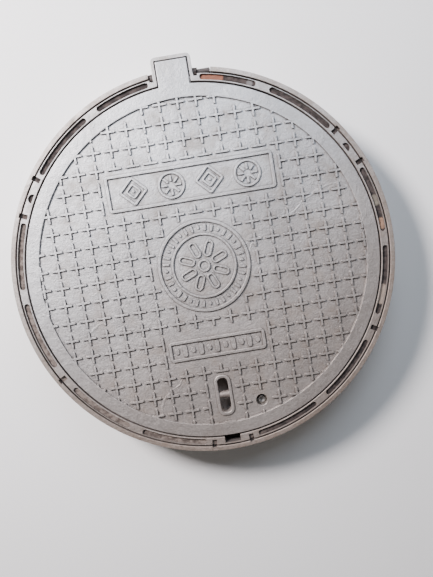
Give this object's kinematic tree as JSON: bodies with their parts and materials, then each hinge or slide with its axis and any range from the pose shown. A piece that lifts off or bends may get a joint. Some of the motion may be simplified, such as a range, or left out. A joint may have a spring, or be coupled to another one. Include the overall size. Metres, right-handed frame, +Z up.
{
  "type": "manhole cover",
  "caption": "Round cast iron manhole cover with cross tread, hinged in a height-adjustable slotted seat frame, with lifting slot and quarter-turn lock.",
  "frame": {"origin": "middle of the footprint at the bottom of the outer frame, on the surface it is bedded on", "axes": "+Z up, out of the road; +Y towards the hinge; +X to the right when the hinge is away from the viewer"},
  "size_m": [0.76, 0.7862, 0.11],
  "materials": {
    "frame_iron": "painted rough casting, silver grey",
    "cover_iron": "painted rough casting, silver grey",
    "gasket_rubber": "matt black rubber",
    "pin_steel": "bare steel, dull and dark",
    "bar_steel": "painted steel, silver grey",
    "lock_steel": "zinc-plated steel",
    "spindle_steel": "bright turned steel",
    "cup_plastic": "matt black plastic, dusty"
  },
  "bodies": {
    "outer_frame": {"outer_frame": "frame_iron"},
    "inner_frame": {"inner_frame": "frame_iron", "seat_gasket": "gasket_rubber", "hinge_pin": "pin_steel", "hinge_washer": "pin_steel", "split_pin": "pin_steel"},
    "cover": {"cover": "cover_iron", "lifting_bar": "bar_steel", "lifting_cup": "cup_plastic", "cup_screw_left": "lock_steel", "cup_screw_right": "lock_steel", "lock_sleeve": "lock_steel", "lock_screw_left": "lock_steel", "lock_screw_right": "lock_steel"},
    "lock": {"lock_seal_ring": "gasket_rubber", "lock_spring_washer": "lock_steel", "lock_spindle": "spindle_steel", "lock_cam": "lock_steel", "lock_cam_washer": "lock_steel", "lock_nut": "lock_steel"}
  },
  "joints": [
    {"name": "height_slide", "type": "slide", "parent": "outer_frame", "child": "inner_frame", "axis": [0, 0, 1], "range_m": [0, 0.03]},
    {"name": "cover_hinge", "type": "hinge", "parent": "inner_frame", "child": "cover", "pos_m": [0, 0.3569, 0.098], "axis": [-1, 0, 0], "range_deg": [0, 110]},
    {"name": "lock_turn", "type": "hinge", "parent": "cover", "child": "lock", "pos_m": [0.0707, -0.3036, 0.065], "axis": [0, 0, -1], "range_deg": [0, 90]}
  ]
}
